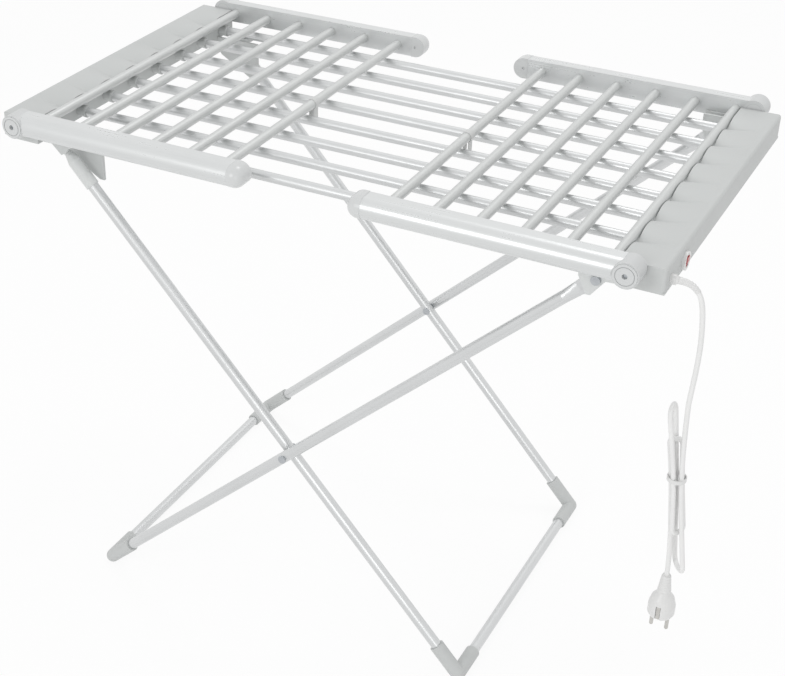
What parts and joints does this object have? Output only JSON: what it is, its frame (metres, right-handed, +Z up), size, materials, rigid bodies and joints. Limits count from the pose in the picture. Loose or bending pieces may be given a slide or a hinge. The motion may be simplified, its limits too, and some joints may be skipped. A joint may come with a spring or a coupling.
{
  "type": "heated clothes airer",
  "caption": "Folding electric clothes airer with heated aluminium bars, hinged wings folded in over the middle, crossed legs, a rocker switch and a tied mains cord with plug.",
  "frame": {"origin": "on the floor, under the middle of the centre frame", "axes": "+X along the length towards the box with the switch, +Y to the rear along the depth, +Z up"},
  "size_m": [0.9498, 0.54, 0.7125],
  "materials": {
    "grey_plastic": "fine-grained light grey moulding",
    "satin_tube": "satin anodised",
    "satin_aluminium": "satin, drawn lengthwise",
    "warm_bar": "matt, slightly warm",
    "heating_cord": "silicone over a heating wire",
    "pale_clip": "smooth",
    "zinc": "zinc plated",
    "white_plastic": "smooth white",
    "red_plastic": "polished red",
    "white_cord": "soft sheath",
    "nickel": "nickel plated"
  },
  "bodies": {
    "centre_frame": {"left_box_cover": "grey_plastic", "left_box_base": "grey_plastic", "right_box_cover": "grey_plastic", "right_box_base": "grey_plastic", "centre_bar_1": "satin_aluminium", "centre_bar_2": "satin_aluminium", "centre_bar_3": "satin_aluminium", "centre_bar_4": "satin_aluminium", "centre_bar_5": "satin_aluminium", "centre_bar_6": "satin_aluminium", "centre_bar_7": "satin_aluminium", "centre_bar_8": "satin_aluminium", "centre_heaters": "heating_cord", "right_brackets": "grey_plastic", "left_receivers": "grey_plastic", "leg_pivot_bolts": "zinc", "wing_pivot_screws": "zinc", "switch_bezel": "white_plastic", "terminal_block": "white_plastic", "thermal_cutout": "zinc", "box_screws": "zinc", "cable_gland": "white_plastic", "mains_cord": "white_cord", "cord_hank": "white_cord", "cord_tie": "white_plastic", "plug_body": "white_plastic", "plug_pins": "nickel"},
    "left_wing": {"left_tube_front": "satin_tube", "left_tube_rear": "satin_tube", "left_bar_1": "warm_bar", "left_bar_2": "warm_bar", "left_bar_3": "warm_bar", "left_bar_4": "warm_bar", "left_bar_5": "warm_bar", "left_bar_6": "warm_bar", "left_hubs": "grey_plastic", "left_end_caps": "grey_plastic", "left_heaters": "heating_cord"},
    "right_wing": {"right_tube_front": "satin_tube", "right_tube_rear": "satin_tube", "right_bar_1": "warm_bar", "right_bar_2": "warm_bar", "right_bar_3": "warm_bar", "right_bar_4": "warm_bar", "right_bar_5": "warm_bar", "right_bar_6": "warm_bar", "right_hubs": "grey_plastic", "right_end_caps": "grey_plastic", "right_heaters": "heating_cord"},
    "left_clip": {"left_clip": "pale_clip"},
    "right_clip": {"right_clip": "pale_clip"},
    "rocker": {"switch_rocker": "red_plastic"},
    "outer_frame": {"outer_legs": "satin_aluminium", "outer_cross_tube": "satin_aluminium", "outer_feet": "grey_plastic", "crossing_rivets": "zinc"},
    "inner_frame": {"inner_legs": "satin_aluminium", "inner_cross_tube": "satin_aluminium", "inner_feet": "grey_plastic", "inner_hooks": "grey_plastic"}
  },
  "joints": [
    {"name": "left_wing_fold", "type": "hinge", "parent": "centre_frame", "child": "left_wing", "pos_m": [-0.404, 0, 0.697], "axis": [0, -1, 0], "range_deg": [0, 152]},
    {"name": "right_wing_fold", "type": "hinge", "parent": "centre_frame", "child": "right_wing", "pos_m": [0.404, 0, 0.697], "axis": [0, 1, 0], "range_deg": [0, 152]},
    {"name": "left_clip_swing", "type": "hinge", "parent": "left_wing", "child": "left_clip", "pos_m": [-0.1105, 0, 0.697], "axis": [0, 1, 0], "range_deg": [-100, 100]},
    {"name": "right_clip_swing", "type": "hinge", "parent": "right_wing", "child": "right_clip", "pos_m": [0.1105, 0, 0.697], "axis": [0, 1, 0], "range_deg": [-100, 100]},
    {"name": "rocker_tilt", "type": "hinge", "parent": "centre_frame", "child": "rocker", "pos_m": [0.4375, -0.172, 0.681], "axis": [0, -1, 0], "range_deg": [0, 16]},
    {"name": "leg_fold", "type": "hinge", "parent": "centre_frame", "child": "outer_frame", "pos_m": [0.365, 0, 0.669], "axis": [0, 1, 0], "range_deg": [0, 41]},
    {"name": "inner_leg_fold", "type": "hinge", "parent": "outer_frame", "child": "inner_frame", "pos_m": [-0.03099, 0, 0.29318], "axis": [0, 1, 0], "range_deg": [-87.5, 0]}
  ],
  "couplings": [
    {"joint": "inner_leg_fold", "follows": "leg_fold", "ratio": -2.13}
  ]
}
